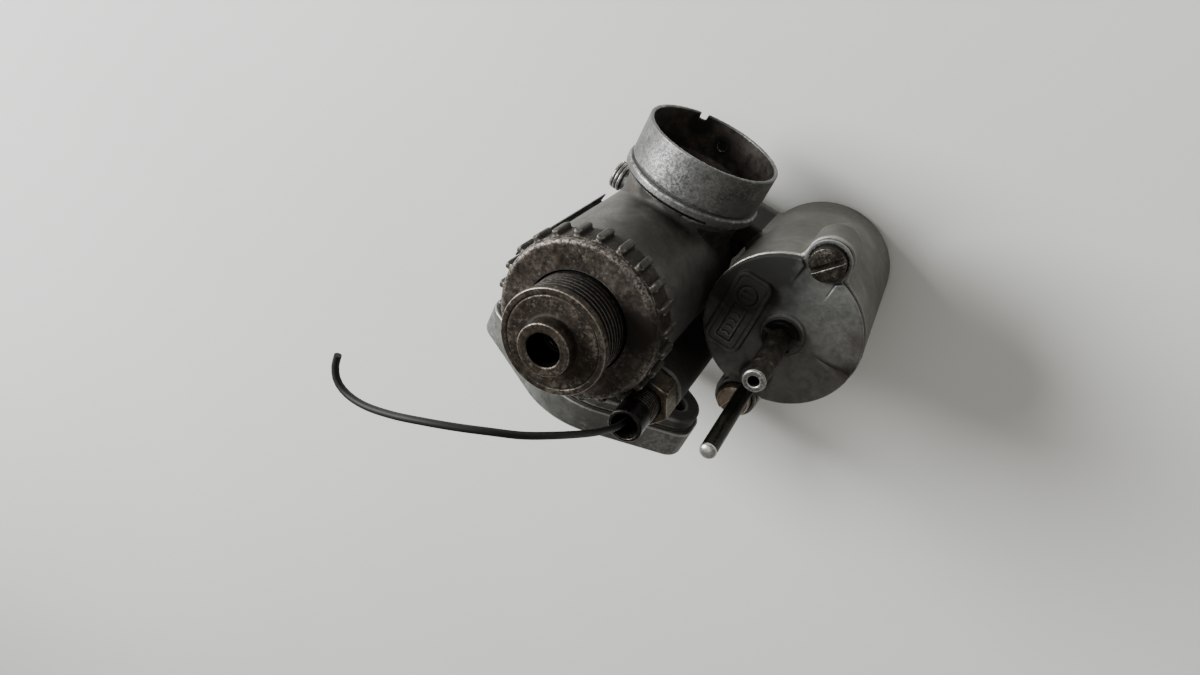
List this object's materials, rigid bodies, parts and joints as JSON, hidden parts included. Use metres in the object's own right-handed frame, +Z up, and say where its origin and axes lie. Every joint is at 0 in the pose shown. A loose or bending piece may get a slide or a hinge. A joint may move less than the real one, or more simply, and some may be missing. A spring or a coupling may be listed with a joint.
{
  "type": "slide carburettor",
  "caption": "Motorcycle slide carburettor: upright mixing chamber with ribbed ring nut, side float bowl with tickler, cable choke, two-stud flange and thin-walled intake spigot.",
  "frame": {"origin": "centre of the mounting face, on the axis of the main bore", "axes": "+Z up along the throttle slide, +Y along the bore from the engine to the air intake, +X towards the float bowl"},
  "size_m": [0.1113, 0.1018, 0.1481],
  "materials": {
    "cast_alloy": "as-cast grey zinc alloy, worn bright on the edges",
    "lid_alloy": "darker cast zinc alloy",
    "patinated_nut": "plated brass with a brown-grey patina",
    "patinated_cap": "plated brass with a brown-grey patina",
    "dark_steel": "dark oiled steel",
    "spring_steel": "dark spring steel",
    "plated_steel": "dull zinc-plated steel",
    "tarnished_steel": "steel tarnished to a tan tint",
    "blackened_tube": "black oily steel",
    "brass": "machined brass",
    "dull_brass": "dull brass",
    "fibre": "dark gasket fibre"
  },
  "bodies": {
    "carburettor": {"carburettor_body": "cast_alloy", "flange_spacer": "cast_alloy", "flange_gasket": "fibre", "ring_nut": "patinated_nut", "top_cap": "patinated_cap", "lock_spring_rivet": "spring_steel", "throttle_spring": "spring_steel", "needle_jet": "brass", "main_jet": "brass", "plug_washer": "fibre", "bottom_plug": "dull_brass", "idle_jet": "brass", "bowl_gasket": "fibre", "bowl_lid": "lid_alloy", "lid_screw_intake_side": "plated_steel", "lid_screw_engine_side": "tarnished_steel", "inlet_nipple": "plated_steel", "needle_seat": "brass", "tickler_spring": "spring_steel", "choke_spring": "spring_steel", "choke_lock_nut": "dull_brass", "choke_cable_tube": "blackened_tube", "throttle_stop_spring": "spring_steel", "idle_air_spring": "spring_steel"},
    "throttle": {"throttle_slide": "plated_steel", "jet_needle": "dull_brass", "needle_clip": "spring_steel"},
    "choke": {"choke_plunger": "brass", "choke_cable": "dark_steel"},
    "tickler": {"tickler_rod": "dark_steel"},
    "float_set": {"float": "brass", "float_needle": "dull_brass"},
    "throttle_stop": {"throttle_stop_screw": "plated_steel"},
    "idle_air": {"idle_air_screw": "plated_steel"},
    "nut_lock": {"lock_spring": "spring_steel"}
  },
  "joints": [
    {"name": "throttle_lift", "type": "slide", "parent": "carburettor", "child": "throttle", "axis": [0, 0, 1], "range_m": [0, 0.0255], "stiffness_N_per_m": 150, "springref_m": -0.02, "deforming": ["throttle_spring"]},
    {"name": "choke_lift", "type": "slide", "parent": "carburettor", "child": "choke", "axis": [0, 0, 1], "range_m": [0, 0.01], "stiffness_N_per_m": 200, "springref_m": -0.01, "deforming": ["choke_spring"]},
    {"name": "tickler_press", "type": "slide", "parent": "carburettor", "child": "tickler", "axis": [0, 0, 1], "range_m": [-0.0035, 0], "stiffness_N_per_m": 300, "springref_m": 0.003, "deforming": ["tickler_spring"]},
    {"name": "float_rise", "type": "slide", "parent": "carburettor", "child": "float_set", "axis": [0, 0, 1], "range_m": [0, 0.005]},
    {"name": "throttle_stop_turn", "type": "hinge", "parent": "carburettor", "child": "throttle_stop", "pos_m": [0, 0.0697, -0.012], "axis": [1, 0, 0], "range_deg": [-720, 720]},
    {"name": "idle_air_turn", "type": "hinge", "parent": "carburettor", "child": "idle_air", "pos_m": [0, 0.0463, -0.012], "axis": [1, 0, 0], "range_deg": [-720, 720]},
    {"name": "nut_lock_flex", "type": "hinge", "parent": "carburettor", "child": "nut_lock", "pos_m": [-0.0243, 0.06294, -0.003], "axis": [-0.1994, -0.9799, 0], "range_deg": [0, 3], "stiffness_Nm_per_rad": 0.5, "springref_deg": -2.86}
  ]
}
